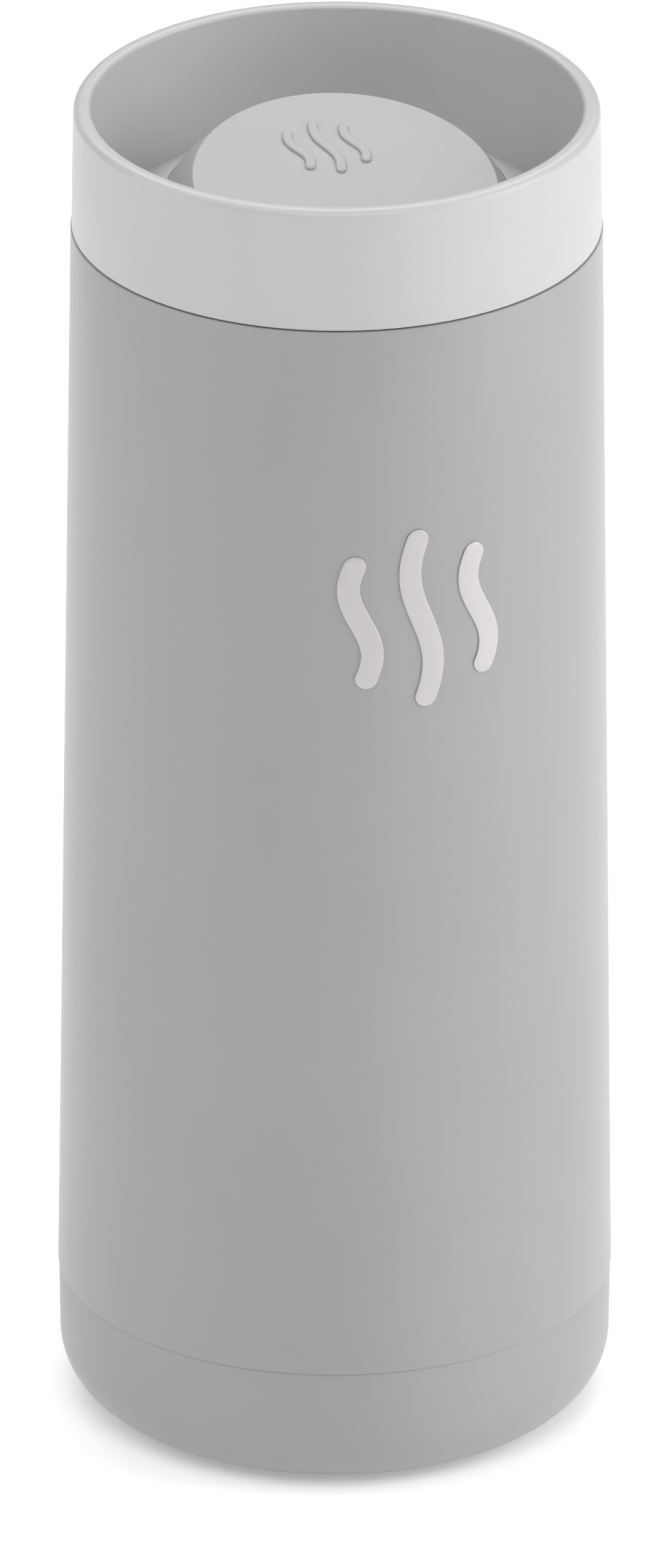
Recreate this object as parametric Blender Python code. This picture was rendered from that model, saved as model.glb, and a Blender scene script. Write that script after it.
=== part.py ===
# Insulated travel mug with a push-to-open lid that pours all the way round.
#
# Units are metres, +Z is up.  The origin is on the mug's axis, on the surface
# that the mug stands on.  The front, with the mark, looks along -Y.
#
# The double-walled steel body is the fixed part.  The lid screws out of the
# neck: its gasket rides up with it and the lid turns on the gasket.  Inside
# the lid a sprung button carries the plunger and the valve seal, and a small
# cam rotor steps round by 45 degrees each time the button is pressed.

import bpy
import bmesh
import math
from mathutils import Vector

# ---------------------------------------------------------------- sizes (mm)
MM = 0.001

SEG_OUT = 48            # facets round the outer pieces
SEG_IN = 36             # facets round the inner pieces

GAP = 0.3               # clearance between pieces that touch

SEAM_Z = 20.0           # line between the shell and the base cap
MOUTH_Z = 183.2         # top edge of the double wall
LID_Z = 183.5           # middle of the line between body and lid
LINE = 0.45             # height of that line

SHELL_R_TOP = 37.94     # body radius just under the lid
SHELL_R_SEAM = 40.03    # body radius just above the seam
SHELL_WALL = 0.5
NECK_OUT_R = 38.65      # lower neck of the shell, inside the base cap
CAP_R = 39.78           # base cap
CAP_WALL = 0.8
CAP_BOTTOM_Z = 0.4
PAD_R = 29.0            # silicone pad underneath
PAD_T = 1.2

LINER_R = 34.9          # inside radius of the liner
LINER_WALL = 0.5
LINER_FLOOR_Z = 26.0
FLANGE_R = 35.7         # inner edge of the shell's mouth flange

# screw thread, right-handed, one start
LEAD = 6.0
RING_Z0, RING_Z1 = 162.0, 179.6
RING_OUT_R = 34.6
RING_BORE_R = 33.2
FEMALE_CREST_R = 31.6
CORE_R = 31.2
MALE_CREST_R = 32.8
THREAD_BASE_W = 2.4
THREAD_CREST_W = 1.4
FEMALE_Z = 166.0        # middle of the ridge where it starts
FEMALE_TURNS = 1.5
MALE_DROP = 2.2         # the lid's ridge runs this far under the ring's ridge
MALE_TURNS = 1.25

# lid
COLLAR_R_LOW = 37.8
COLLAR_R_TOP = 37.52
RIM_Z = LID_Z + 18.15
RIM_IN_R = 35.05
RIM_SOFT_R, RIM_SOFT_Z = 1.2, 1.0   # the rim's outer edge falls away softly
BOWL_MID_R = 34.62
BOWL_LOW_R = 34.15
CONE_TAN = math.tan(math.radians(31.5))
CONE_R, CONE_Z = 24.45, LID_Z + 4.75       # a point on the bowl's sloping floor
SKIRT_OUT_R, SKIRT_IN_R = 28.9, 27.8
SKIRT_Z = 174.5

# button
DOME_R = 28.9
DOME_Z = LID_Z - 10.7   # centre of the dome's sphere
DOME_WALL = 1.8
DOME_EDGE_Z = 184.9
FACE_TILT = math.radians(12.2)
FACE_Z = LID_Z + 8.65    # height of the slanted face on the axis
TERRACE_Z = LID_Z + 5.65 # the face levels out to this height at the front
TERRACE_SOFT = 3.0
STROKE = 4.0

# plug
CORE_Z0, CORE_Z1 = 153.0, 181.3
CORE_BORE_R = 29.4
SEAT_R = 24.0
STEM_R = 3.0

# mark: three steam wisps, on the body and again on the button
MARK_Z = LID_Z - 45.2
MARK_HEIGHTS = (20.6, 27.6, 20.6)
MARK_PITCH = 8.9
MARK_STROKE = 3.3
MARK_SWAY = 1.7
BUTTON_MARK_SCALE = 0.47
BUTTON_MARK_UP = 4.6

FRONT = -math.pi / 2


# ------------------------------------------------------------------- helpers
def clear_scene():
    for ob in list(bpy.data.objects):
        bpy.data.objects.remove(ob, do_unlink=True)


def material(name, rgb, roughness, metallic=0.0):
    mat = bpy.data.materials.new(name)
    mat.use_nodes = True
    bsdf = mat.node_tree.nodes["Principled BSDF"]
    bsdf.inputs["Base Color"].default_value = (rgb[0], rgb[1], rgb[2], 1.0)
    bsdf.inputs["Roughness"].default_value = roughness
    bsdf.inputs["Metallic"].default_value = metallic
    mat.diffuse_color = (rgb[0], rgb[1], rgb[2], 1.0)
    return mat


def empty(name, z_mm, parent=None):
    ob = bpy.data.objects.new(name, None)
    bpy.context.scene.collection.objects.link(ob)
    ob.parent = parent
    base = parent.location.z if parent else 0.0
    ob.location = (0.0, 0.0, z_mm * MM - base)
    return ob


def finish(name, bm, mat, parent, z_mm, smooth=35.0):
    """Turn a bmesh in absolute millimetres into a named object."""
    bmesh.ops.remove_doubles(bm, verts=bm.verts, dist=1e-4)
    bmesh.ops.recalc_face_normals(bm, faces=bm.faces)
    for v in bm.verts:
        v.co = Vector((v.co.x * MM, v.co.y * MM, (v.co.z - z_mm) * MM))
    me = bpy.data.meshes.new(name)
    bm.to_mesh(me)
    bm.free()
    me.materials.append(mat)
    me.shade_smooth()
    me.set_sharp_from_angle(angle=math.radians(smooth))
    ob = bpy.data.objects.new(name, me)
    bpy.context.scene.collection.objects.link(ob)
    ob.parent = parent
    world_z = 0.0
    p = parent
    while p is not None:
        world_z += p.location.z
        p = p.parent
    ob.location = (0.0, 0.0, z_mm * MM - world_z)
    return ob


def rounded(points, steps=2):
    """Replace each corner (r, z, radius) of a closed outline by an arc."""
    out = []
    n = len(points)
    for i, p in enumerate(points):
        rad = p[2] if len(p) > 2 else 0.0
        b = Vector((p[0], p[1]))
        if rad <= 0.0:
            out.append((b.x, b.y))
            continue
        a = Vector(points[i - 1][:2]) - b
        c = Vector(points[(i + 1) % n][:2]) - b
        half = a.angle(c) / 2.0
        back = rad / math.tan(half)
        start = b + a.normalized() * back
        end = b + c.normalized() * back
        centre = b + (a.normalized() + c.normalized()).normalized() * (rad / math.sin(half))
        va, vc = start - centre, end - centre
        sweep = va.angle(vc)
        for k in range(steps + 1):
            t = k / steps
            v = (va * math.sin((1 - t) * sweep) + vc * math.sin(t * sweep)) / math.sin(sweep)
            out.append((centre.x + v.x, centre.y + v.y))
    return out


def lathe(bm, outline, segments):
    """Turn a closed (r, z) outline about Z; points on the axis become poles."""
    rings = []
    for r, z in outline:
        if abs(r) < 1e-6:
            rings.append([bm.verts.new((0.0, 0.0, z))])
        else:
            rings.append([bm.verts.new((r * math.cos(2 * math.pi * k / segments),
                                        r * math.sin(2 * math.pi * k / segments), z))
                          for k in range(segments)])
    for i, a in enumerate(rings):
        b = rings[(i + 1) % len(rings)]
        if len(a) == 1 and len(b) == 1:
            continue
        for k in range(segments):
            m = (k + 1) % segments
            if len(a) == 1:
                bm.faces.new((a[0], b[m], b[k]))
            elif len(b) == 1:
                bm.faces.new((a[k], a[m], b[0]))
            else:
                bm.faces.new((a[k], a[m], b[m], b[k]))


def turned(name, outline, mat, parent, segments=SEG_IN, z=None, smooth=35.0):
    bm = bmesh.new()
    lathe(bm, outline, segments)
    base = z if z is not None else min(p[1] for p in outline)
    return finish(name, bm, mat, parent, base, smooth)


def ring_of_samples(bm, samples):
    """Closed ring from (angle, r_in, r_out, z_low, z_high) samples in order."""
    loops = []
    for ang, r_in, r_out, z0, z1 in samples:
        c, s = math.cos(ang), math.sin(ang)
        loops.append([bm.verts.new((r * c, r * s, z))
                      for r, z in ((r_in, z0), (r_out, z0), (r_out, z1), (r_in, z1))])
    for i, a in enumerate(loops):
        b = loops[(i + 1) % len(loops)]
        for k in range(4):
            m = (k + 1) % 4
            bm.faces.new((a[k], b[k], b[m], a[m]))


def helix_ridge(bm, r_base, r_crest, z_start, turns, per_turn=SEG_IN):
    """Closed solid of one thread ridge, starting at the front."""
    steps = int(round(turns * per_turn))
    sections = []
    for k in range(steps + 1):
        ang = FRONT + 2 * math.pi * (k + 0.5) / per_turn
        zc = z_start + LEAD * k / per_turn
        run_in = min(1.0, 0.35 + 0.65 * min(k, steps - k) / 3.0)
        crest = r_base + (r_crest - r_base) * run_in
        c, s = math.cos(ang), math.sin(ang)
        sections.append([bm.verts.new((r * c, r * s, zc + dz)) for r, dz in (
            (r_base, -THREAD_BASE_W / 2), (crest, -THREAD_CREST_W / 2),
            (crest, THREAD_CREST_W / 2), (r_base, THREAD_BASE_W / 2))])
    for a, b in zip(sections, sections[1:]):
        for k in range(4):
            m = (k + 1) % 4
            bm.faces.new((a[k], b[k], b[m], a[m]))
    bm.faces.new(sections[0][::-1])
    bm.faces.new(sections[-1])


def boolean(ob, other, operation):
    mod = ob.modifiers.new(operation.lower() + "_" + other.name, "BOOLEAN")
    mod.operation = operation
    mod.solver = "EXACT"
    mod.object = other
    other.hide_render = True
    other.display_type = "WIRE"


def box(bm, x0, x1, y0, y1, z0, z1):
    verts = bmesh.ops.create_cube(bm, size=1.0)["verts"]
    for v in verts:
        v.co = Vector(((x0 + x1) / 2 + v.co.x * (x1 - x0),
                       (y0 + y1) / 2 + v.co.y * (y1 - y0),
                       (z0 + z1) / 2 + v.co.z * (z1 - z0)))


def wisp_outline(height, scale, steps=14):
    """(u, v, half-width, slope) along one steam wisp, bottom to top."""
    rows = []
    for k in range(steps + 1):
        t = k / steps
        end = min(t, 1 - t) * height * scale
        half = MARK_STROKE * scale / 2
        w = half * math.sqrt(max(0.0, 1 - (1 - min(1.0, end / (half * 1.6))) ** 2))
        u = MARK_SWAY * scale * math.sin(2 * math.pi * t)
        du = MARK_SWAY * scale * math.cos(2 * math.pi * t) * 2 * math.pi / (height * scale)
        rows.append((u, (t - 0.5) * height * scale, max(w, 0.22 * half), du))
    return rows


def wisps(bm, place, h0, h1, scale, which=(0, 1, 2)):
    """Closed wisps; place(u, v, h) gives the point in millimetres."""
    for i in which:
        height = MARK_HEIGHTS[i]
        shift = (i - 1) * MARK_PITCH * scale
        rows = []
        for u, v, w, du in wisp_outline(height, scale):
            n = Vector((1.0, -du)).normalized() * w
            left, right = (shift + u - n.x, v - n.y), (shift + u + n.x, v + n.y)
            rows.append([bm.verts.new(place(*left, h0)), bm.verts.new(place(*right, h0)),
                         bm.verts.new(place(*right, h1)), bm.verts.new(place(*left, h1))])
        for a, b in zip(rows, rows[1:]):
            for k in range(4):
                m = (k + 1) % 4
                bm.faces.new((a[k], b[k], b[m], a[m]))
        bm.faces.new(rows[0][::-1])
        bm.faces.new(rows[-1])


def shell_radius(z):
    return SHELL_R_SEAM + (SHELL_R_TOP - SHELL_R_SEAM) * (z - SEAM_Z) / (183.04 - SEAM_Z)


# ----------------------------------------------------------------- materials
clear_scene()

PAINT = material("satin_paint", (0.42, 0.42, 0.41), 0.42, 0.0)
CAP_PAINT = material("base_paint", (0.42, 0.42, 0.41), 0.42, 0.0)
STEEL = material("brushed_steel", (0.62, 0.61, 0.60), 0.32, 1.0)
SHELL_END = material("shell_end_steel", (0.55, 0.55, 0.54), 0.40, 1.0)
MARK = material("mark_steel", (0.80, 0.79, 0.78), 0.30, 1.0)
LID_PLASTIC = material("lid_plastic", (0.62, 0.61, 0.62), 0.45)
BUTTON_PLASTIC = material("button_plastic", (0.60, 0.60, 0.60), 0.45)
INNER_PLASTIC = material("inner_plastic", (0.36, 0.36, 0.37), 0.50)
NECK_PLASTIC = material("neck_plastic", (0.30, 0.30, 0.31), 0.50)
CAM_PLASTIC = material("cam_plastic", (0.80, 0.79, 0.75), 0.40)
SILICONE = material("silicone", (0.30, 0.30, 0.31), 0.60)
VALVE_SILICONE = material("valve_silicone", (0.22, 0.22, 0.23), 0.60)
PAD_SILICONE = material("pad_silicone", (0.10, 0.10, 0.10), 0.70)
SPRING_STEEL = material("spring_steel", (0.58, 0.57, 0.56), 0.25, 1.0)
GETTER = material("getter_alloy", (0.25, 0.24, 0.23), 0.70, 0.6)
SOLDER = material("vacuum_solder", (0.50, 0.50, 0.50), 0.35, 1.0)

# -------------------------------------------------------- groups on the axes
body = empty("body_frame", 0.0)
lid_axis = empty("lid_axis", LID_Z)
button_axis = empty("button_axis", LID_Z, lid_axis)

# ================================================================= the body
# Painted outer shell: gently wider towards the base, a flat flange at the
# mouth, and a lower neck that the base cap slides over.
w = SHELL_WALL
outer_shell = turned("outer_shell", rounded([
    (shell_radius(MOUTH_Z), MOUTH_Z, 0.35),
    (shell_radius(100.0), 100.0),
    (SHELL_R_SEAM, SEAM_Z, 0.2),
    (NECK_OUT_R, SEAM_Z),
    (NECK_OUT_R, 12.0),
    (NECK_OUT_R - w, 12.0),
    (NECK_OUT_R - w, SEAM_Z + w),
    (SHELL_R_SEAM - w, SEAM_Z + w),
    (shell_radius(100.0) - w, 100.0),
    (shell_radius(MOUTH_Z) - w, MOUTH_Z - w),
    (FLANGE_R, MOUTH_Z - w),
    (FLANGE_R, MOUTH_Z),
], 2), PAINT, body, SEG_OUT)

# Deep-drawn liner, welded to the flange round the mouth.
t = LINER_WALL
inner_liner = turned("inner_liner", rounded([
    (LINER_R + t, MOUTH_Z),
    (LINER_R + t, LINER_FLOOR_Z - t, 8.5),
    (0.0, LINER_FLOOR_Z - t),
    (0.0, LINER_FLOOR_Z),
    (LINER_R, LINER_FLOOR_Z, 8.0),
    (LINER_R, MOUTH_Z),
], 4), STEEL, body, SEG_IN)

# Threaded insert bonded into the mouth of the liner.
bm = bmesh.new()
lathe(bm, [(RING_OUT_R, RING_Z1), (RING_OUT_R, RING_Z0), (RING_BORE_R + 0.6, RING_Z0),
           (RING_BORE_R, RING_Z0 + 0.8), (RING_BORE_R, RING_Z1 - 0.4), (RING_BORE_R + 0.4, RING_Z1)], SEG_IN)
neck_ring = finish("neck_ring", bm, NECK_PLASTIC, body, RING_Z0)
bm = bmesh.new()
helix_ridge(bm, RING_BORE_R + 0.5, FEMALE_CREST_R, FEMALE_Z, FEMALE_TURNS)
female = finish("neck_thread_form", bm, NECK_PLASTIC, body, RING_Z0)
boolean(neck_ring, female, "UNION")

# Disc that closes the vacuum from below, with a raised middle for the
# evacuation hole, its solder plug, and the getter pill inside the vacuum.
r_end = NECK_OUT_R - SHELL_WALL - GAP
shell_bottom = turned("shell_bottom", rounded([
    (r_end, 12.4), (r_end, 15.8, 0.8), (9.0, 15.8), (6.0, 18.0), (2.0, 18.0),
    (2.0, 17.2), (5.6, 17.2), (8.6, 15.0), (r_end - 0.8, 15.0), (r_end - 0.8, 12.4),
], 1), SHELL_END, body, SEG_IN)
vacuum_plug = turned("vacuum_plug", [
    (0.0, 17.9), (1.6, 17.9), (1.6, 16.9), (4.2, 16.9), (3.6, 15.4), (0.0, 15.1),
], SOLDER, body, 16)
bm = bmesh.new()
lathe(bm, [(0.0, 18.1), (4.3, 18.1), (5.0, 17.6), (5.0, 16.1), (0.0, 16.1)], 16)
for v in bm.verts:
    v.co.x += 20.0
getter_pill = finish("getter_pill", bm, GETTER, body, 16.1)

# Base cap: a painted cup with a generous lower edge and a recess for the pad.
edge = []
for k in range(6):                       # quarter ellipse of the lower edge
    a = math.radians(90.0 * k / 5)
    edge.append((30.3 + 9.45 * math.cos(a), 9.3 - 8.9 * math.sin(a)))
inner_edge = []
for k in range(3):
    a = math.radians(90.0 * (2 - k) / 2)
    inner_edge.append((30.3 + (9.45 - CAP_WALL) * math.cos(a), 9.3 - 7.0 * math.sin(a)))
base_cap = turned("base_cap",
                  rounded([(CAP_R, SEAM_Z - GAP, 0.25)] + edge +
                          [(PAD_R + GAP, CAP_BOTTOM_Z), (PAD_R + GAP, 1.5),
                           (0.0, 1.5), (0.0, 2.3)] + inner_edge +
                          [(CAP_R - CAP_WALL, SEAM_Z - GAP)], 2),
                  CAP_PAINT, body, SEG_OUT)

base_pad = turned("base_pad", [
    (0.0, PAD_T), (PAD_R, PAD_T), (PAD_R, 0.3), (PAD_R - 0.4, 0.0),
    (0.0, 0.0)], PAD_SILICONE, body, SEG_IN)


# Mark on the front of the shell.
def on_shell(u, v, h):
    z = MARK_Z + v
    r = shell_radius(z)
    a = FRONT + u / r
    return Vector(((r + h) * math.cos(a), (r + h) * math.sin(a), z))


for which, name in enumerate(("front_mark_left", "front_mark_middle", "front_mark_right")):
    bm = bmesh.new()
    wisps(bm, on_shell, 0.2, 0.6, 1.0, (which,))
    finish(name, bm, MARK, body, MARK_Z, 60.0)

# ================================================================== the lid
# Silicone gasket between the lid and the neck ring.
lid_gasket = turned("lid_gasket", rounded([
    (34.4, 179.9, 0.35), (34.4, 181.3), (31.7, 181.3), (31.7, 179.9, 0.35)], 1),
    SILICONE, lid_axis, SEG_IN)


# One-piece lid shell: collar, rim, bowl, sloping floor, thin lip round the
# button, and a short skirt that plugs into the threaded core.
def cone_z(r):
    return CONE_Z + (CONE_R - r) * CONE_TAN


def sphere_z(r, radius):
    return DOME_Z + math.sqrt(radius * radius - r * r)


lip_ball = DOME_R + GAP
lo, hi = 23.0, 26.0                      # where the floor meets the lip's ball
for _ in range(40):
    mid = (lo + hi) / 2
    if sphere_z(mid, lip_ball) > cone_z(mid):
        lo = mid
    else:
        hi = mid
lip_r = (lo + hi) / 2
lo, hi = 25.0, 28.0                      # where the ball meets the underside
for _ in range(40):
    mid = (lo + hi) / 2
    if sphere_z(mid, lip_ball) > cone_z(mid) - 1.9:
        lo = mid
    else:
        hi = mid
under_r = (lo + hi) / 2

floor_corner_r = BOWL_LOW_R
rim_edge = []
for k in range(7):
    a = math.radians(15.0 * k)
    rim_edge.append((COLLAR_R_TOP - RIM_SOFT_R * (1 - math.cos(a)),
                     RIM_Z - RIM_SOFT_Z * (1 - math.sin(a))))
lid_shell = turned("lid_shell", rounded([
    (COLLAR_R_LOW, LID_Z + LINE / 2, 0.25),
] + rim_edge + [
    (RIM_IN_R, RIM_Z, 0.6),
    (BOWL_MID_R, LID_Z + 6.5),
    (floor_corner_r, cone_z(floor_corner_r), 0.3),
    (lip_r, cone_z(lip_r)),
    ((lip_r + under_r) / 2, sphere_z((lip_r + under_r) / 2, lip_ball)),
    (under_r, sphere_z(under_r, lip_ball)),
    (SKIRT_IN_R, cone_z(SKIRT_IN_R) - 1.9),
    (SKIRT_IN_R, SKIRT_Z),
    (SKIRT_OUT_R, SKIRT_Z),
    (SKIRT_OUT_R, 181.6),
    (34.4, 181.6, 0.6),
    (34.4, LID_Z + LINE / 2),
], 2), LID_PLASTIC, lid_axis, SEG_OUT)

# Threaded core: plug with the outer thread, the valve seat at the bottom, a
# ledge for the guide, a groove for its ring and a step for the core seal.
bm = bmesh.new()
lathe(bm, [
    (CORE_R, CORE_Z1), (CORE_R, CORE_Z0 + 0.6), (CORE_R - 0.6, CORE_Z0), (SEAT_R, CORE_Z0),
    (SEAT_R, CORE_Z0 + 2.0), (CORE_BORE_R, CORE_Z0 + 2.0), (CORE_BORE_R, 162.4),
    (27.9, 162.4), (27.9, 164.2), (CORE_BORE_R, 164.2), (CORE_BORE_R, 167.6), (30.3, 167.6),
    (30.3, 169.3), (CORE_BORE_R, 169.3), (CORE_BORE_R, 176.5), (30.2, 176.5), (30.2, CORE_Z1),
], SEG_IN)
lid_core = finish("lid_core", bm, INNER_PLASTIC, lid_axis, CORE_Z0)
bm = bmesh.new()
helix_ridge(bm, CORE_R - 0.4, MALE_CREST_R, FEMALE_Z - MALE_DROP, MALE_TURNS)
male = finish("core_thread_form", bm, INNER_PLASTIC, lid_axis, CORE_Z0)
boolean(lid_core, male, "UNION")

core_seal = turned("core_seal", [(29.9, 176.8), (29.9, 178.6), (29.2, 178.6), (29.2, 176.8)],
                   SILICONE, lid_axis, SEG_IN)

# Guide for the plunger: a ring, four ribs and a bored hub.
valve_guide = turned("valve_guide", [(29.1, 164.5), (29.1, 167.3), (28.0, 167.3), (28.0, 164.5)],
                     CAM_PLASTIC, lid_axis, SEG_IN)
hub = turned("guide_hub_form", [(0.0, 164.5), (8.5, 164.5), (8.5, 167.7), (0.0, 167.7)],
             CAM_PLASTIC, lid_axis, 24)
bm = bmesh.new()
box(bm, -28.5, 28.5, -1.2, 1.2, 164.8, 167.0)
rib_x = finish("guide_rib_x_form", bm, CAM_PLASTIC, lid_axis, 164.8)
bm = bmesh.new()
box(bm, -1.2, 1.2, -28.5, 28.5, 164.9, 166.9)
rib_y = finish("guide_rib_y_form", bm, CAM_PLASTIC, lid_axis, 164.9)
bore = turned("guide_bore_form", [(0.0, 160.0), (STEM_R + 0.4, 160.0), (STEM_R + 0.4, 172.0), (0.0, 172.0)],
              CAM_PLASTIC, lid_axis, 24)
boolean(hub, rib_x, "UNION")
boolean(hub, rib_y, "UNION")
boolean(valve_guide, hub, "UNION")
boolean(valve_guide, bore, "DIFFERENCE")

# Open wire ring that snaps into the core's groove over the guide.
bm = bmesh.new()
arc = []
for k in range(29):
    ang = math.radians(-75.0 + 330.0 * k / 28)
    c, s = math.cos(ang), math.sin(ang)
    arc.append([bm.verts.new((r * c, r * s, z)) for r, z in
                ((28.4, 168.0), (30.0, 168.0), (30.0, 169.0), (28.4, 169.0))])
for a, b in zip(arc, arc[1:]):
    for k in range(4):
        m = (k + 1) % 4
        bm.faces.new((a[k], b[k], b[m], a[m]))
bm.faces.new(arc[0][::-1])
bm.faces.new(arc[-1])
retaining_ring = finish("retaining_ring", bm, SPRING_STEEL, lid_axis, 168.0)

# Click mechanism: a sleeve under the guide's hub with a toothed ring at each
# end, and the rotor that steps between them.
cam_sleeve = turned("cam_sleeve", [(8.4, 151.0), (8.4, 164.2), (7.0, 164.2), (7.0, 151.0)],
                    CAM_PLASTIC, lid_axis, 24)


def toothed(name, z_back, z_root, z_tip, teeth=8):
    samples = []
    pitch = 2 * math.pi / teeth
    up = z_tip > z_back
    for i in range(teeth):
        for frac, h in ((0.0, 0.0), (0.45, 0.5), (0.90, 1.0)):
            z = z_root + (z_tip - z_root) * h
            lo_z, hi_z = (z_back, z) if up else (z, z_back)
            samples.append(((i + frac) * pitch, STEM_R + 0.6, 6.7, lo_z, hi_z))
    bm = bmesh.new()
    ring_of_samples(bm, samples)
    return finish(name, bm, CAM_PLASTIC, lid_axis, min(z_back, z_tip))


cam_upper = toothed("cam_upper", 164.2, 162.3, 160.9)
cam_lower = toothed("cam_lower", 151.0, 152.0, 153.2)

# Return spring between the guide's hub and the button, with closed ends.
COILS, WIRE_R, COIL_R = 4.5, 0.6, 7.6
SPRING_Z0, SPRING_Z1 = 168.0, 182.7
bm = bmesh.new()
per = 14
count = int(COILS * per)
sections = []
for k in range(count + 1):
    turn = k / per
    lead_in = min(1.0, turn)
    lead_out = min(1.0, COILS - turn)
    rise = (0.5 * lead_in ** 2 if turn < 1 else turn - 0.5)
    total = COILS - 1.0
    if COILS - turn < 1:
        rise = total - 0.5 * lead_out ** 2
    zc = SPRING_Z0 + WIRE_R + (SPRING_Z1 - SPRING_Z0 - 2 * WIRE_R) * rise / total
    ang = 2 * math.pi * turn
    c, s = math.cos(ang), math.sin(ang)
    sections.append([bm.verts.new(((COIL_R + WIRE_R * math.cos(q)) * c,
                                   (COIL_R + WIRE_R * math.cos(q)) * s,
                                   zc + WIRE_R * math.sin(q)))
                     for q in (math.pi * j / 3 + math.pi / 6 for j in range(6))])
for a, b in zip(sections, sections[1:]):
    for k in range(6):
        m = (k + 1) % 6
        bm.faces.new((a[k], b[k], b[m], a[m]))
bm.faces.new(sections[0][::-1])
bm.faces.new(sections[-1])
return_spring = finish("return_spring", bm, SPRING_STEEL, lid_axis, SPRING_Z0)

# =============================================================== the button
# Hollow dome cut by a slanted face that levels out at the front, so that the
# lip round it always meets the ball.
FACE_TAN = math.tan(FACE_TILT)
BREAK_Y = (TERRACE_Z - FACE_Z) / FACE_TAN


def face_z(y):
    s = y - BREAK_Y
    return TERRACE_Z + FACE_TAN * (s + math.sqrt(s * s + TERRACE_SOFT ** 2)) / 2


def face_radius(ang, ball, drop):
    """Radius where the face, lowered by drop, meets a ball, at an angle."""
    a, b = 5.0, ball - 0.5
    for _ in range(40):
        m = (a + b) / 2
        if sphere_z(m, ball) > face_z(m * math.sin(ang)) - drop:
            a = m
        else:
            b = m
    return (a + b) / 2


def dome_surface(bm, ball, drop, edge_z, rings_face, rings_side):
    """Face and side of a dome from the middle to its lower edge."""
    edge_r = math.sqrt(ball * ball - (edge_z - DOME_Z) ** 2)
    rings = [[bm.verts.new((0.0, 0.0, face_z(0.0) - drop))]]
    for f in rings_face:
        ring = []
        for k in range(SEG_OUT):
            ang = 2 * math.pi * k / SEG_OUT
            r = face_radius(ang, ball, drop) * f
            y = r * math.sin(ang)
            ring.append(bm.verts.new((r * math.cos(ang), y, face_z(y) - drop)))
        rings.append(ring)
    for f in rings_side:
        ring = []
        for k in range(SEG_OUT):
            ang = 2 * math.pi * k / SEG_OUT
            r0 = face_radius(ang, ball, drop)
            r = r0 + (edge_r - r0) * f
            ring.append(bm.verts.new((r * math.cos(ang), r * math.sin(ang), sphere_z(r, ball))))
        rings.append(ring)
    return rings


def bridge(bm, a, b):
    n = max(len(a), len(b))
    for k in range(n):
        m = (k + 1) % n
        if len(a) == 1:
            bm.faces.new((a[0], b[k], b[m]))
        elif len(b) == 1:
            bm.faces.new((a[k], b[0], a[m]))
        else:
            bm.faces.new((a[k], b[k], b[m], a[m]))


bm = bmesh.new()
outer = dome_surface(bm, DOME_R, 0.0, DOME_EDGE_Z, (0.45, 0.75, 1.0), (0.4, 0.75, 1.0))
inner = dome_surface(bm, DOME_R - DOME_WALL, DOME_WALL, DOME_EDGE_Z, (0.6, 1.0), (0.5, 1.0))
for a, b in zip(outer, outer[1:]):
    bridge(bm, a, b)
for a, b in zip(inner, inner[1:]):
    bridge(bm, a, b)
bridge(bm, outer[-1], inner[-1])
button_dome = finish("button_dome", bm, BUTTON_PLASTIC, button_axis, DOME_EDGE_Z, 25.0)


def on_face(u, v, h):
    ca, sa = math.cos(FACE_TILT), math.sin(FACE_TILT)
    s = BUTTON_MARK_UP + v
    return Vector((u, s * ca - h * sa, FACE_Z + s * sa + h * ca))


bm = bmesh.new()
wisps(bm, on_face, -0.6, 0.45, BUTTON_MARK_SCALE)
relief = finish("button_relief_form", bm, BUTTON_PLASTIC, button_axis, FACE_Z)
boolean(button_dome, relief, "UNION")

# Plate that closes the dome from below, with a locating ring and a bored hub.
button_base = turned("button_base", [
    (0.0, 183.0), (0.0, 184.6), (21.6, 184.6), (21.6, 186.4), (22.8, 186.4), (22.8, 184.6),
    (25.6, 184.6), (25.6, 183.0), (6.0, 183.0), (6.0, 172.5), (STEM_R + 0.3, 172.5),
    (STEM_R + 0.3, 182.4), (0.0, 182.4)], INNER_PLASTIC, button_axis, SEG_IN)

plunger_stem = turned("plunger_stem", [
    (0.0, 182.1), (STEM_R - 0.4, 182.1), (STEM_R, 181.7), (STEM_R, 150.5),
    (2.2, 150.5), (2.2, 144.7), (1.8, 144.3), (0.0, 144.3)], SPRING_STEEL, button_axis, 20)

seal_carrier = turned("seal_carrier", [
    (2.5, 150.2), (10.0, 150.2), (10.8, 152.3), (22.8, 152.3), (22.8, 150.2),
    (26.5, 150.2), (26.5, 148.6), (25.7, 147.8), (2.5, 147.8)],
    INNER_PLASTIC, button_axis, SEG_IN)

valve_seal = turned("valve_seal", [
    (23.1, 150.5), (23.1, 152.2), (24.3, 152.7), (26.2, 152.7), (26.9, 152.0), (26.9, 150.5)],
    VALVE_SILICONE, button_axis, SEG_IN)

carrier_nut = turned("carrier_nut", [(5.6, 147.5), (5.6, 145.0), (2.9, 145.0), (2.9, 147.5)],
                     SPRING_STEEL, button_axis, 6, smooth=20.0)

# Rotor of the click mechanism: a ring on the stem with four lugs.
samples = []
for i in range(4):
    base = math.pi / 2 * i
    for frac, r in ((0.0, 6.4), (0.12, 6.4), (0.24, 6.4), (0.30, 5.0), (0.55, 5.0), (0.8, 5.0), (0.94, 5.0)):
        samples.append((base + frac * math.pi / 2, STEM_R + 0.3, r, 157.5, 160.5))
bm = bmesh.new()
ring_of_samples(bm, samples)
index_rotor = finish("index_rotor", bm, CAM_PLASTIC, button_axis, 157.5, 25.0)
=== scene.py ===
"""Looks of the insulated travel mug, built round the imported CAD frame."""
import math

import bmesh
import bpy
from mathutils import Matrix, Vector


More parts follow.
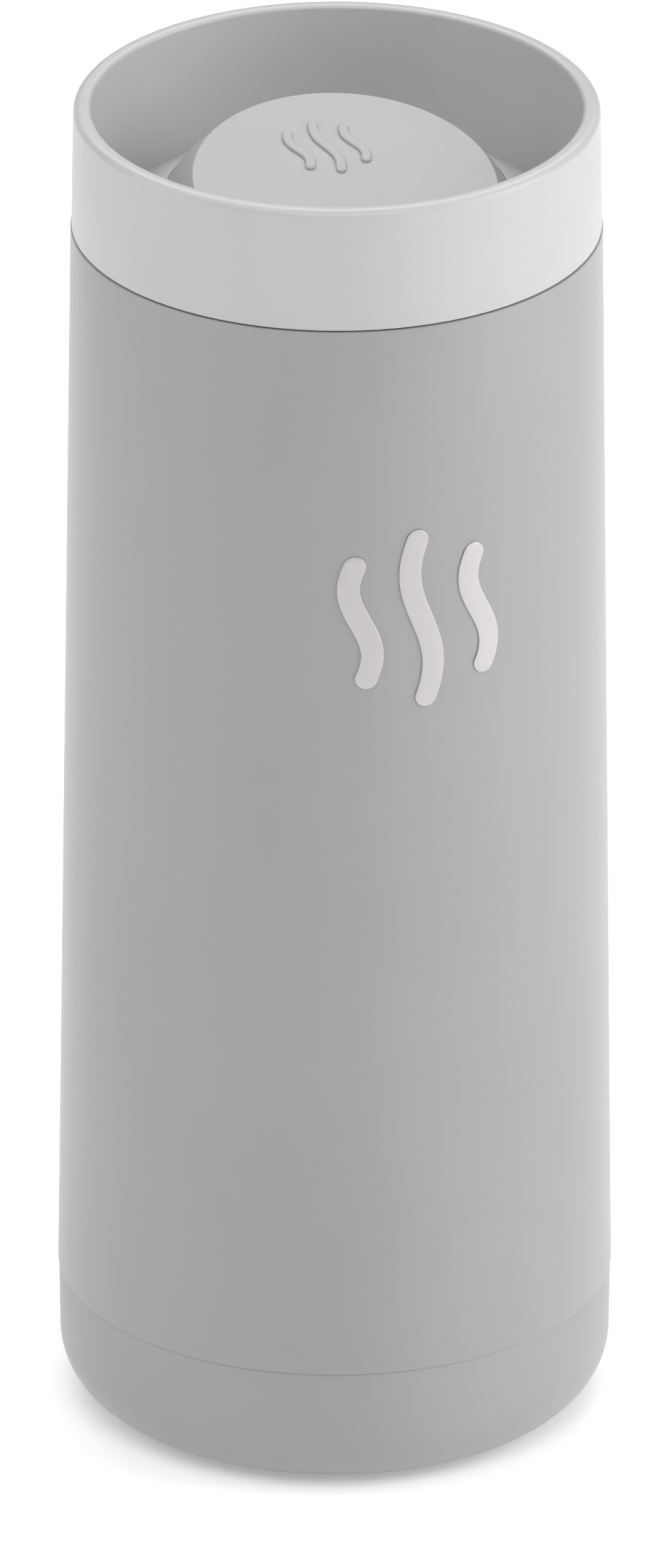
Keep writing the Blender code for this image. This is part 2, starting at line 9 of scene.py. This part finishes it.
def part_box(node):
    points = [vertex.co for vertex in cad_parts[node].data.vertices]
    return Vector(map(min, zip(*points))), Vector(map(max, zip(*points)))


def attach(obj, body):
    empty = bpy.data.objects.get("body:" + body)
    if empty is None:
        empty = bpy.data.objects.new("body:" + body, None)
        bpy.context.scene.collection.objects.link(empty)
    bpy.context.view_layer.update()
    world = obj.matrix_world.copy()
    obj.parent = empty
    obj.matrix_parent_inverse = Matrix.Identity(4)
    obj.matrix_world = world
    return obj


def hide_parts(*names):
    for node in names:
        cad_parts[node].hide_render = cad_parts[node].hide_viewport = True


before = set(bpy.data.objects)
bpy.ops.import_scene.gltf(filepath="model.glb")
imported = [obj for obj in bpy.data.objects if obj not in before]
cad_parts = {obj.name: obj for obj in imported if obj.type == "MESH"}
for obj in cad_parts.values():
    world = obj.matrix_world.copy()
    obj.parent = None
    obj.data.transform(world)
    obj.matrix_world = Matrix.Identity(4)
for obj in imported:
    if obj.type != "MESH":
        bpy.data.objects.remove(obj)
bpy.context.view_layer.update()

MM = 0.001
SEG = 256
FRONT = -math.pi / 2

# ------------------------------------------------------------ sizes from CAD
SEAM_Z = 20.0
MOUTH_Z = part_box("outer_shell")[1].z / MM
LID_Z = MOUTH_Z + 0.3
COLLAR_Z = LID_Z - 0.06                 # lower edge of the collar
R_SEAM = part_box("outer_shell")[1].x / MM
R_TOP = 37.94
DOME_R, DOME_Z = 28.9, LID_Z - 10.7
FACE_TILT = math.radians(12.2)
FACE_TAN = math.tan(FACE_TILT)
FACE_Z = LID_Z + 8.65
TERRACE_Z = LID_Z + 5.65
BREAK_Y = (TERRACE_Z - FACE_Z) / FACE_TAN
CONE_TAN = math.tan(math.radians(31.5))
MARK_Z = LID_Z - 45.2
LEAD = 6.0


# =================================================================== geometry
def lathe_rings(bm, outline, segments=SEG):
    rings = []
    for r, z in outline:
        if abs(r) < 1e-6:
            rings.append([bm.verts.new((0.0, 0.0, z))])
        else:
            rings.append([bm.verts.new((r * math.cos(2 * math.pi * k / segments),
                                        r * math.sin(2 * math.pi * k / segments), z))
                          for k in range(segments)])
    for i, a in enumerate(rings):
        b = rings[(i + 1) % len(rings)]
        n = max(len(a), len(b))
        if n == 1:
            continue
        for k in range(n):
            m = (k + 1) % n
            if len(a) == 1:
                bm.faces.new((a[0], b[m], b[k]))
            elif len(b) == 1:
                bm.faces.new((a[k], a[m], b[0]))
            else:
                bm.faces.new((a[k], a[m], b[m], b[k]))


def rounded(points, steps=6):
    """Corner (r, z, radius) of a closed outline becomes an arc of steps."""
    out = []
    n = len(points)
    for i, p in enumerate(points):
        rad = p[2] if len(p) > 2 else 0.0
        k_steps = p[3] if len(p) > 3 else steps
        b = Vector((p[0], p[1]))
        if rad <= 0.0:
            out.append((b.x, b.y))
            continue
        a = Vector(points[i - 1][:2]) - b
        c = Vector(points[(i + 1) % n][:2]) - b
        half = a.angle(c) / 2.0
        back = rad / math.tan(half)
        start, end = b + a.normalized() * back, b + c.normalized() * back
        centre = b + (a.normalized() + c.normalized()).normalized() * (rad / math.sin(half))
        va, vc = start - centre, end - centre
        sweep = va.angle(vc)
        for k in range(k_steps + 1):
            t = k / k_steps
            v = (va * math.sin((1 - t) * sweep) + vc * math.sin(t * sweep)) / math.sin(sweep)
            out.append((centre.x + v.x, centre.y + v.y))
    return out


def to_object(name, bm, mat, body, replaces=(), sharp=40.0, merge=1e-4):
    """bmesh in millimetres -> shown piece that rides on a CAD body."""
    bmesh.ops.remove_doubles(bm, verts=bm.verts, dist=merge)
    bmesh.ops.recalc_face_normals(bm, faces=bm.faces)
    for v in bm.verts:
        v.co *= MM
    me = bpy.data.meshes.new(name)
    bm.to_mesh(me)
    bm.free()
    me.materials.append(mat)
    me.shade_smooth()
    me.set_sharp_from_angle(angle=math.radians(sharp))
    ob = bpy.data.objects.new(name, me)
    bpy.context.scene.collection.objects.link(ob)
    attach(ob, body)
    if replaces:
        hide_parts(*replaces)
    return ob


def turned(name, outline, mat, body, replaces=(), segments=SEG, sharp=40.0):
    bm = bmesh.new()
    lathe_rings(bm, outline, segments)
    return to_object(name, bm, mat, body, replaces, sharp)


def shell_radius(z):
    return R_SEAM + (R_TOP - R_SEAM) * (z - SEAM_Z) / (183.04 - SEAM_Z)


def cone_z(r):
    return LID_Z + 4.75 + (24.45 - r) * CONE_TAN


def ball_z(r, ball):
    return DOME_Z + math.sqrt(ball * ball - r * r)


def solve(lo, hi, keep_low):
    for _ in range(50):
        mid = (lo + hi) / 2
        if keep_low(mid):
            lo = mid
        else:
            hi = mid
    return (lo + hi) / 2


# ================================================================== materials
class Nodes:
    """Small helper that writes a node tree from left to right."""

    def __init__(self, name):
        self.mat = bpy.data.materials.new(name)
        self.mat.use_nodes = True
        self.tree = self.mat.node_tree
        self.bsdf = self.tree.nodes["Principled BSDF"]
        self.coord = self.add("ShaderNodeTexCoord").outputs["Object"]

    def add(self, kind, **values):
        node = self.tree.nodes.new(kind)
        for key, value in values.items():
            setattr(node, key, value)
        return node

    def link(self, a, b):
        self.tree.links.new(a, b)

    def stretch(self, scale):
        node = self.add("ShaderNodeMapping")
        node.inputs["Scale"].default_value = scale
        self.link(self.coord, node.inputs["Vector"])
        return node.outputs["Vector"]

    def noise(self, scale, detail=3.0, vector=None, rough=0.55):
        node = self.add("ShaderNodeTexNoise")
        node.inputs["Scale"].default_value = scale
        node.inputs["Detail"].default_value = detail
        node.inputs["Roughness"].default_value = rough
        self.link(vector if vector is not None else self.coord, node.inputs["Vector"])
        return node.outputs["Fac"]

    def ramp(self, fac, stops):
        node = self.add("ShaderNodeValToRGB")
        el = node.color_ramp.elements
        while len(el) < len(stops):
            el.new(0.5)
        for e, (pos, colour) in zip(el, stops):
            e.position = pos
            e.color = (colour[0], colour[1], colour[2], 1.0)
        self.link(fac, node.inputs["Fac"])
        return node.outputs["Color"]

    def span(self, fac, low, high, a=0.3, b=0.7):
        node = self.add("ShaderNodeMapRange")
        node.inputs["From Min"].default_value = a
        node.inputs["From Max"].default_value = b
        node.inputs["To Min"].default_value = low
        node.inputs["To Max"].default_value = high
        self.link(fac, node.inputs["Value"])
        return node.outputs["Result"]

    def bump(self, height, distance, strength=1.0, normal=None):
        node = self.add("ShaderNodeBump")
        node.inputs["Strength"].default_value = strength
        node.inputs["Distance"].default_value = distance
        self.link(height, node.inputs["Height"])
        if normal is not None:
            self.link(normal, node.inputs["Normal"])
        return node.outputs["Normal"]

    def set(self, **values):
        for key, value in values.items():
            self.bsdf.inputs[key.replace("_", " ")].default_value = value
        return self


def shade(rgb, k):
    return tuple(max(0.0, min(1.0, c * k)) for c in rgb)


def painted(name, rgb, rough, spread=0.02, grain=0.000012):
    """Satin powder coat: fine orange peel, and barely visible clouding."""
    n = Nodes(name)
    cloud = n.noise(28.0, 3.0)
    n.link(n.ramp(cloud, ((0.30, shade(rgb, 1 - spread)), (0.70, shade(rgb, 1 + spread)))),
           n.bsdf.inputs["Base Color"])
    peel = n.noise(1500.0, 2.0)
    speck = n.noise(5200.0, 1.0)
    n.link(n.span(speck, rough - 0.03, rough + 0.03), n.bsdf.inputs["Roughness"])
    coarse = n.bump(peel, grain, 0.6)
    n.link(n.bump(speck, grain * 0.5, 0.5, coarse), n.bsdf.inputs["Normal"])
    return n


def moulded(name, rgb, rough, spread=0.02, grain=0.000010, scale=2600.0):
    """Injection-moulded plastic with a fine spark-eroded texture."""
    n = Nodes(name)
    flow = n.noise(45.0, 2.0)
    n.link(n.ramp(flow, ((0.30, shade(rgb, 1 - spread)), (0.70, shade(rgb, 1 + spread)))),
           n.bsdf.inputs["Base Color"])
    fine = n.noise(scale, 2.0)
    n.link(n.span(fine, rough - 0.04, rough + 0.04), n.bsdf.inputs["Roughness"])
    n.link(n.bump(fine, grain, 0.6), n.bsdf.inputs["Normal"])
    return n


def brushed(name, rgb, rough, stretch, spread=0.06, grain=0.000006, scale=1.0):
    """Brushed metal: fine lines along the short axes of stretch."""
    n = Nodes(name)
    line = n.noise(scale, 4.0, n.stretch(stretch), 0.7)
    n.link(n.ramp(line, ((0.30, shade(rgb, 1 - spread)), (0.70, shade(rgb, 1 + spread)))),
           n.bsdf.inputs["Base Color"])
    n.link(n.span(line, rough - 0.06, rough + 0.08), n.bsdf.inputs["Roughness"])
    n.link(n.bump(line, grain, 0.7), n.bsdf.inputs["Normal"])
    n.set(Metallic=1.0)
    return n


PAINT_RGB = (0.316, 0.316, 0.314)
LID_RGB = (0.484, 0.479, 0.485)
BUTTON_RGB = (0.360, 0.357, 0.359)

paint = painted("satin_paint", PAINT_RGB, 0.33).mat
cap_paint = painted("base_paint", PAINT_RGB, 0.35).mat
lid_plastic = moulded("lid_plastic", LID_RGB, 0.36).mat
button_plastic = moulded("button_plastic", BUTTON_RGB, 0.42, grain=0.000014, scale=2000.0).mat
inner_plastic = moulded("inner_plastic", (0.36, 0.36, 0.37), 0.45).mat
neck_plastic = moulded("neck_plastic", (0.30, 0.30, 0.31), 0.48).mat
cam_plastic = moulded("cam_plastic", (0.80, 0.79, 0.75), 0.38).mat
silicone = moulded("silicone", (0.30, 0.30, 0.31), 0.62, 0.05, 0.000015, 1800.0).mat
valve_silicone = moulded("valve_silicone", (0.20, 0.20, 0.21), 0.60, 0.05, 0.000015, 1800.0).mat
pad_silicone = moulded("pad_silicone", (0.085, 0.085, 0.088), 0.68, 0.08, 0.00002, 1500.0).mat
mark_steel = brushed("mark_steel", (0.52, 0.505, 0.50), 0.43, (900.0, 900.0, 9000.0), 0.03).mat
liner_steel = brushed("liner_steel", (0.60, 0.595, 0.59), 0.26, (60.0, 60.0, 5200.0)).mat
shell_end_steel = brushed("shell_end_steel", (0.55, 0.55, 0.54), 0.35, (400.0, 400.0, 4000.0)).mat
spring_steel = brushed("spring_steel", (0.60, 0.59, 0.58), 0.24, (300.0, 300.0, 4000.0)).mat
solder = brushed("vacuum_solder", (0.50, 0.50, 0.50), 0.35, (900.0, 900.0, 900.0), 0.12).mat
getter = moulded("getter_alloy", (0.25, 0.24, 0.23), 0.70, 0.15, 0.00006, 1400.0).set(Metallic=0.6).mat

CAD_LOOKS = {
    "shell_bottom": shell_end_steel, "vacuum_plug": solder, "getter_pill": getter,
    "core_seal": silicone, "valve_guide": cam_plastic, "retaining_ring": spring_steel,
    "cam_sleeve": cam_plastic, "cam_upper": cam_plastic, "cam_lower": cam_plastic,
    "return_spring": spring_steel, "button_base": inner_plastic,
    "plunger_stem": spring_steel, "index_rotor": cam_plastic,
}
for node_name, mat in CAD_LOOKS.items():
    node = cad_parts[node_name]
    if not node.material_slots:
        node.data.materials.append(mat)
    for s in node.material_slots:
        s.material = mat

# ======================================================================= body
WALL = 0.5
turned("shell_painted", rounded([
    (shell_radius(MOUTH_Z), MOUTH_Z, 0.16, 5),
    (shell_radius(140.0), 140.0),
    (shell_radius(100.0), 100.0),
    (shell_radius(60.0), 60.0),
    (R_SEAM, SEAM_Z + 0.02, 0.10, 5),
    (38.65, SEAM_Z + 0.02),
    (38.65, 12.0, 0.2, 3),
    (38.15, 12.0),
    (38.15, SEAM_Z + WALL, 0.3, 3),
    (R_SEAM - WALL, SEAM_Z + WALL, 0.4, 3),
    (shell_radius(100.0) - WALL, 100.0),
    (shell_radius(MOUTH_Z) - WALL, MOUTH_Z - WALL, 0.4, 3),
    (35.7, MOUTH_Z - WALL),
    (35.7, MOUTH_Z, 0.15, 3),
]), paint, "mug_body", ["outer_shell"])

turned("liner_steel_cup", rounded([
    (35.4, MOUTH_Z, 0.2, 4),
    (35.4, 25.5, 8.5, 16),
    (0.0, 25.5),
    (0.0, 26.0),
    (34.9, 26.0, 8.0, 16),
    (34.9, MOUTH_Z, 0.2, 4),
]), liner_steel, "mug_body", ["inner_liner"])


def threaded(name, outline, base_r, crest_r, z_start, turns, mat, body, replaces):
    """Turned sleeve with one helical ridge, rounded and run out at its ends."""
    bm = bmesh.new()
    lathe_rings(bm, outline, SEG)
    steps = int(turns * 96)
    sections = []
    for k in range(steps + 1):
        ang = FRONT + 2 * math.pi * (k / 96 + 0.5 / 36)
        zc = z_start + LEAD * k / 96
        t = min(1.0, min(k, steps - k) / 7.0)
        crest = base_r + (crest_r - base_r) * (0.30 + 0.70 * math.sin(t * math.pi / 2))
        prof = [(base_r, -1.2)]
        for j in range(9):
            q = -1 + 2 * j / 8
            h = 1.0 - 0.22 * q * q - 0.10 * q ** 8
            prof.append((base_r + (crest - base_r) * h, 0.72 * q))
        prof.append((base_r, 1.2))
        c, s = math.cos(ang), math.sin(ang)
        sections.append([bm.verts.new((r * c, r * s, zc + dz)) for r, dz in prof])
    n = len(sections[0])
    for a, b in zip(sections, sections[1:]):
        for k in range(n):
            m = (k + 1) % n
            bm.faces.new((a[k], b[k], b[m], a[m]))
    bm.faces.new(sections[0][::-1])
    bm.faces.new(sections[-1])
    return to_object(name, bm, mat, body, replaces, 50.0)


threaded("neck_insert", rounded([
    (34.6, 179.6, 0.3, 4), (34.6, 162.0, 0.3, 4), (33.2, 162.0, 0.6, 4), (33.2, 179.6, 0.35, 4)]),
    33.6, 31.65, 166.0, 1.5, neck_plastic, "mug_body", ["neck_ring"])

# Base cap: quarter-ellipse lower edge, short flat foot, recess for the pad.
edge = []
for k in range(25):
    a = math.radians(90.0 * k / 24)
    edge.append((30.3 + 9.45 * math.cos(a), 9.3 - 8.9 * math.sin(a)))
inner_edge = []
for k in range(13):
    a = math.radians(90.0 * (12 - k) / 12)
    inner_edge.append((30.3 + 8.65 * math.cos(a), 9.3 - 7.0 * math.sin(a)))
turned("base_cap_painted",
       rounded([(39.90, SEAM_Z, 0.05, 3)] + edge +
               [(29.3, 0.4, 0.12, 3), (29.3, 1.5, 0.2, 3), (0.0, 1.5), (0.0, 2.3)] +
               inner_edge + [(38.98, SEAM_Z)]),
       cap_paint, "mug_body", ["base_cap"])

# Silicone pad with two fine ribs pressed into its sole.
turned("base_pad_silicone", rounded([
    (0.0, 1.2), (29.0, 1.2, 0.3, 4), (29.0, 0.0, 0.4, 5),
    (26.2, 0.0, 0.1, 2), (25.9, 0.3, 0.1, 2), (24.9, 0.3, 0.1, 2), (24.6, 0.0, 0.1, 2),
    (22.6, 0.0, 0.1, 2), (22.3, 0.3, 0.1, 2), (21.3, 0.3, 0.1, 2), (21.0, 0.0, 0.1, 2),
    (0.0, 0.0)]), pad_silicone, "mug_body", ["base_pad"])

# ======================================================================= mark
HEIGHTS = (20.6, 27.6, 20.6)
PITCH, STROKE_W, SWAY = 8.9, 3.3, 1.7


def wisp(bm, place, which, scale, base, top, round_over, turn=16, steps=64):
    """One steam wisp: a curved stroke with half-round ends, swept edge-first
    round its own centre line, its top edge rounded over."""
    long = HEIGHTS[which] * scale
    half = STROKE_W * scale / 2
    shift = (which - 1) * PITCH * scale
    run = long - 2 * half                       # length between the end centres

    def spine(t):
        wave = 2 * math.pi * (half + t * run) / long
        u = SWAY * scale * math.sin(wave)
        du = SWAY * scale * math.cos(wave) * 2 * math.pi / long
        along = Vector((du, 1.0)).normalized()
        return Vector((shift + u, (half + t * run) - long / 2)), along

    stations = []
    for k in range(steps + 1):                  # up the right-hand side
        p, along = spine(k / steps)
        stations.append((p, Vector((along.y, -along.x))))
    for k in range(1, turn):                    # round the top end
        p, along = spine(1.0)
        a = math.pi * k / turn
        side = Vector((along.y, -along.x))
        stations.append((p, side * math.cos(a) + along * math.sin(a)))
    for k in range(steps, -1, -1):              # down the left-hand side
        p, along = spine(k / steps)
        stations.append((p, Vector((-along.y, along.x))))
    for k in range(1, turn):                    # round the bottom end
        p, along = spine(0.0)
        a = math.pi * k / turn
        side = Vector((-along.y, along.x))
        stations.append((p, side * math.cos(a) - along * math.sin(a)))

    section = [(0.0, top), ((half - round_over) * 0.5, top)]
    for k in range(7):
        a = math.radians(90.0 * k / 6)
        section.append((half - round_over + round_over * math.sin(a),
                        top - min(round_over, top - base) * (1 - math.cos(a))))
    section += [(half, base - 0.25), (0.0, base - 0.25)]
    loops = []
    for p, n in stations:
        loops.append([bm.verts.new(place(p.x + n.x * w, p.y + n.y * w, h)) for w, h in section])
    for k in range(len(loops)):
        a, b = loops[k], loops[(k + 1) % len(loops)]
        for m in range(len(section) - 1):
            bm.faces.new((a[m], a[m + 1], b[m + 1], b[m]))


def on_shell(u, v, h):
    z = MARK_Z + v
    r = shell_radius(z)
    a = FRONT + u / r
    return Vector(((r + h) * math.cos(a), (r + h) * math.sin(a), z))


for which, part in enumerate(("left", "middle", "right")):
    bm = bmesh.new()
    wisp(bm, on_shell, which, 1.0, 0.02, 0.22, 0.12)
    to_object("steel_mark_" + part, bm, mark_steel, "mug_body",
              ["front_mark_" + part], 50.0, 1e-5)

# ======================================================================== lid
turned("gasket_ring", rounded([
    (34.4, 179.9, 0.5, 5), (34.4, 181.3, 0.2, 3), (31.7, 181.3, 0.2, 3), (31.7, 179.9, 0.5, 5)]),
    silicone, "gasket", ["lid_gasket"])

LIP_BALL = DOME_R + 0.04
lip_r = solve(23.0, 26.0, lambda r: ball_z(r, LIP_BALL) > cone_z(r))
under_r = solve(25.0, 28.0, lambda r: ball_z(r, LIP_BALL) > cone_z(r) - 1.9)
corner_r = 34.15
RIM_A, RIM_B = 1.2, 1.0                     # soft outer edge of the rim
lip = [(lip_r + 0.10, cone_z(lip_r + 0.10))]
for k in range(9):
    r = lip_r + 0.02 + (under_r - lip_r - 0.02) * k / 8
    lip.append((r, ball_z(r, LIP_BALL)))
turned("lid_moulding", rounded([
    (37.8, COLLAR_Z, 0.14, 5),
    (37.66, LID_Z + 9.0),
] + [(37.52 - RIM_A + RIM_A * math.cos(math.radians(a)),
       LID_Z + 18.15 - RIM_B + RIM_B * math.sin(math.radians(a))) for a in range(0, 91, 6)] + [
    (35.05, LID_Z + 18.15, 0.6, 8),
    (34.62, LID_Z + 6.5),
    (corner_r, cone_z(corner_r)),
] + lip + [
    (27.8, cone_z(27.8) - 1.9, 0.5, 4),
    (27.8, 174.5, 0.3, 3),
    (28.9, 174.5, 0.3, 3),
    (28.9, 181.6, 0.4, 3),
    (34.4, 181.6, 0.6, 6),
    (34.4, MOUTH_Z + 0.06, 0.1, 3),
    (37.40, MOUTH_Z + 0.06),
    (37.46, COLLAR_Z),
]), lid_plastic, "lid", ["lid_shell"])

threaded("lid_plug", rounded([
    (31.2, 181.3, 0.2, 3), (31.2, 153.0, 0.7, 5), (24.0, 153.0, 0.3, 3), (24.0, 155.0, 0.3, 3),
    (29.4, 155.0, 0.6, 3), (29.4, 162.4), (27.9, 162.4, 0.2, 2), (27.9, 164.2, 0.2, 2),
    (29.4, 164.2), (29.4, 167.6), (30.3, 167.6), (30.3, 169.3), (29.4, 169.3), (29.4, 176.5),
    (30.2, 176.5), (30.2, 181.3)]),
    30.85, 32.75, 163.8, 1.25, inner_plastic, "lid", ["lid_core"])


# ===================================================================== button
def face_z(y):
    s = y - BREAK_Y
    return TERRACE_Z + FACE_TAN * (s + math.sqrt(s * s + 9.0)) / 2


def face_radius(ang, ball, drop):
    return solve(5.0, ball - 0.5, lambda r: ball_z(r, ball) > face_z(r * math.sin(ang)) - drop)


def dome():
    bm = bmesh.new()
    edge_z = 184.9
    fillet = 0.22

    def skin(ball, drop, soft):
        edge_r = math.sqrt(ball * ball - (edge_z - DOME_Z) ** 2)
        cols = []
        for k in range(SEG):
            ang = 2 * math.pi * k / SEG
            c, s = math.cos(ang), math.sin(ang)
            r0 = face_radius(ang, ball, drop)
            pts = []
            for f in (0.12, 0.25, 0.38, 0.5, 0.62, 0.72, 0.8, 0.87, 0.93, 0.97):
                r = r0 * f
                pts.append(Vector((r * c, r * s, face_z(r * s) - drop)))
            p0 = Vector((r0 * c, r0 * s, ball_z(r0, ball)))
            ra, rb = r0 - 1.0, r0 + 0.6
            fa = (Vector((ra * c, ra * s, face_z(ra * s) - drop)) - p0).normalized()
            fb = (Vector((rb * c, rb * s, ball_z(rb, ball))) - p0).normalized()
            half = fa.angle(fb) / 2
            back = soft / math.tan(half)
            centre = p0 + (fa + fb).normalized() * (soft / math.sin(half))
            va, vb = p0 + fa * back - centre, p0 + fb * back - centre
            sweep = va.angle(vb)
            for j in range(9):
                t = j / 8
                pts.append(centre + (va * math.sin((1 - t) * sweep) + vb * math.sin(t * sweep)) / math.sin(sweep))
            start = (pts[-1].x ** 2 + pts[-1].y ** 2) ** 0.5
            for j in range(1, 13):
                r = start + (edge_r - start) * j / 12
                pts.append(Vector((r * c, r * s, ball_z(r, ball))))
            cols.append([bm.verts.new(p) for p in pts])
        top = bm.verts.new((0.0, 0.0, face_z(0.0) - drop))
        for k in range(SEG):
            a, b = cols[k], cols[(k + 1) % SEG]
            bm.faces.new((top, a[0], b[0]))
            for j in range(len(a) - 1):
                bm.faces.new((a[j], a[j + 1], b[j + 1], b[j]))
        return [c[-1] for c in cols]

    outer = skin(DOME_R, 0.0, fillet)
    inner = skin(DOME_R - 1.8, 1.8, 0.5)
    for k in range(SEG):
        m = (k + 1) % SEG
        bm.faces.new((outer[k], inner[k], inner[m], outer[m]))
    return to_object("button_cap", bm, button_plastic, "button", ["button_dome"],
                     60.0)


dome()


def on_face(u, v, h):
    y = (4.6 + v) * math.cos(FACE_TILT)
    up = Vector((0.0, -math.sin(FACE_TILT), math.cos(FACE_TILT)))
    return Vector((u, y, face_z(y))) + up * h


for which, part in enumerate(("left", "middle", "right")):
    bm = bmesh.new()
    wisp(bm, on_face, which, 0.47, -0.02, 0.36, 0.30)
    to_object("button_relief_" + part, bm, button_plastic, "button", (),
              60.0, 1e-5)

turned("seal_plate", rounded([
    (2.5, 150.2), (10.0, 150.2, 0.4, 3), (10.8, 152.3, 0.4, 3), (22.8, 152.3, 0.3, 3),
    (22.8, 150.2), (26.5, 150.2, 0.2, 3), (26.5, 147.8, 0.8, 6), (2.5, 147.8, 0.2, 2)]),
    inner_plastic, "button", ["seal_carrier"])
turned("valve_ring", rounded([
    (23.1, 150.5), (23.1, 152.2, 0.2, 3), (24.3, 152.7, 0.4, 4), (26.2, 152.7, 0.4, 4),
    (26.9, 152.0, 0.4, 4), (26.9, 150.5, 0.3, 3)]),
    valve_silicone, "button", ["valve_seal"])


def hex_nut():
    """Hexagon nut with chamfered corners and a round bore."""
    bm = bmesh.new()
    n = 48
    across = 5.6 * math.cos(math.pi / 6)
    rings = []
    for z, outer, chamfer in ((145.0, True, 0.5), (145.35, True, 0.0), (147.15, True, 0.0),
                              (147.5, True, 0.5), (147.5, False, 0.0), (145.0, False, 0.0)):
        ring = []
        for k in range(n):
            ang = 2 * math.pi * k / n
            if outer:
                rel = (ang + math.pi / 6) % (math.pi / 3) - math.pi / 6
                r = min(across / math.cos(rel if abs(rel) < 1.4 else 0.0), 5.6 - chamfer * 0.9)
                rel6 = (ang % (math.pi / 3)) - math.pi / 6
                r = min(across / math.cos(rel6), 5.62 - chamfer)
            else:
                r = 2.55
            ring.append(bm.verts.new((r * math.cos(ang), r * math.sin(ang), z)))
        rings.append(ring)
    for i, a in enumerate(rings):
        b = rings[(i + 1) % len(rings)]
        for k in range(n):
            m = (k + 1) % n
            bm.faces.new((a[k], a[m], b[m], b[k]))
    return to_object("stem_nut", bm, spring_steel, "button", ["carrier_nut"], 25.0)


hex_nut()

# ====================================================================== stage
bm = bmesh.new()
bmesh.ops.create_grid(bm, x_segments=40, y_segments=40, size=20.0)
me = bpy.data.meshes.new("floor")
bm.to_mesh(me)
bm.free()
floor = bpy.data.objects.new("floor", me)
floor.location.z = -0.00005
bpy.context.scene.collection.objects.link(floor)
floor_n = Nodes("studio_floor")
floor_n.link(floor_n.ramp(floor_n.noise(6.0, 2.0), ((0.2, (0.88, 0.88, 0.88)), (0.8, (0.90, 0.90, 0.90)))),
             floor_n.bsdf.inputs["Base Color"])
reach = floor_n.add("ShaderNodeVectorMath", operation="LENGTH")
floor_n.link(floor_n.coord, reach.inputs[0])
floor_n.link(floor_n.span(reach.outputs["Value"], 0.25, 0.70, 2.5, 6.0), floor_n.bsdf.inputs["Emission Strength"])
floor_n.set(Roughness=0.9, Specular_IOR_Level=0.1, Emission_Color=(1.0, 1.0, 1.0, 1.0))
me.materials.append(floor_n.mat)

# ===================================================================== camera
AZ, EL = math.radians(-18.4), math.radians(25.2324)
DIST = 4.0972
ROLL = math.radians(0.1155)
right = Vector((math.cos(AZ), math.sin(AZ), 0.0))
towards = Vector((math.sin(AZ) * math.cos(EL), -math.cos(AZ) * math.cos(EL), math.sin(EL)))
up = towards.cross(right)
target = Vector((0.0, 0.0, (LID_Z - 88.525) * MM)) + right * (-0.156 * MM)
cam_data = bpy.data.cameras.new("camera")
cam_data.sensor_fit = "AUTO"
cam_data.sensor_width = 36.0
cam_data.lens = 36.0 * 45467.4 / 2500.0
cam_data.clip_start = 0.1
cam_data.clip_end = 50.0
cam = bpy.data.objects.new("camera", cam_data)
bpy.context.scene.collection.objects.link(cam)
rot = Matrix((right, up, towards)).transposed()
cam.matrix_world = Matrix.Translation(target + towards * DIST) @ (rot @ Matrix.Rotation(ROLL, 3, "Z")).to_4x4()
bpy.context.scene.camera = cam

# ===================================================================== lights
world = bpy.data.worlds.new("studio")
world.use_nodes = True
world.node_tree.nodes["Background"].inputs["Color"].default_value = (1.0, 1.0, 1.0, 1.0)
world.node_tree.nodes["Background"].inputs["Strength"].default_value = 0.0
bpy.context.scene.world = world


def softbox(name, azimuth, elevation, dist, width, height, power, colour=(1.0, 1.0, 1.0)):
    """Rectangular area light; azimuth is measured from the camera's side."""
    a = AZ + math.radians(azimuth)
    e = math.radians(elevation)
    pos = Vector((math.sin(a) * math.cos(e), -math.cos(a) * math.cos(e), math.sin(e))) * dist
    pos += Vector((0.0, 0.0, 0.1))
    data = bpy.data.lights.new(name, "AREA")
    data.shape = "RECTANGLE"
    data.size, data.size_y = width, height
    data.energy = power
    data.color = colour
    ob = bpy.data.objects.new(name, data)
    ob.location = pos
    ob.rotation_euler = (pos - Vector((0.0, 0.0, 0.1))).to_track_quat("Z", "Y").to_euler()
    bpy.context.scene.collection.objects.link(ob)
    return ob


# Two banks of upright strip boxes at the sides, two behind, six boxes overhead.
for side, azimuth, power in (
        ("left", -56.0, 1.5), ("left", -70.0, 1.2), ("left", -84.0, 5.2), ("left", -98.0, 1.0),
        ("left", -150.0, 1.2), ("right", 30.0, 0.8), ("right", 46.0, 0.8), ("right", 58.0, 2.4),
        ("right", 70.0, 5.9), ("right", 82.0, 7.1), ("right", 94.0, 5.5), ("right", 155.0, 0.7)):
    softbox("%s_strip_%d" % (side, abs(azimuth)), azimuth, 14.0, 1.6, 0.34, 1.6, power)
softbox("over_front", 0.0, 50.0, 1.6, 1.4, 0.9, 11.8)
softbox("over_back", 180.0, 50.0, 1.6, 1.4, 0.9, 13.0)
softbox("over_left", -90.0, 45.0, 1.6, 1.2, 0.8, 3.3)
softbox("over_right", 90.0, 45.0, 1.6, 1.2, 0.8, 2.2)
softbox("high_left", -90.0, 68.0, 1.6, 0.8, 0.8, 3.3)
softbox("high_right", 90.0, 68.0, 1.6, 0.8, 0.8, 2.5)

bpy.context.scene.view_settings.view_transform = "Standard"
bpy.context.scene.view_settings.look = "None"
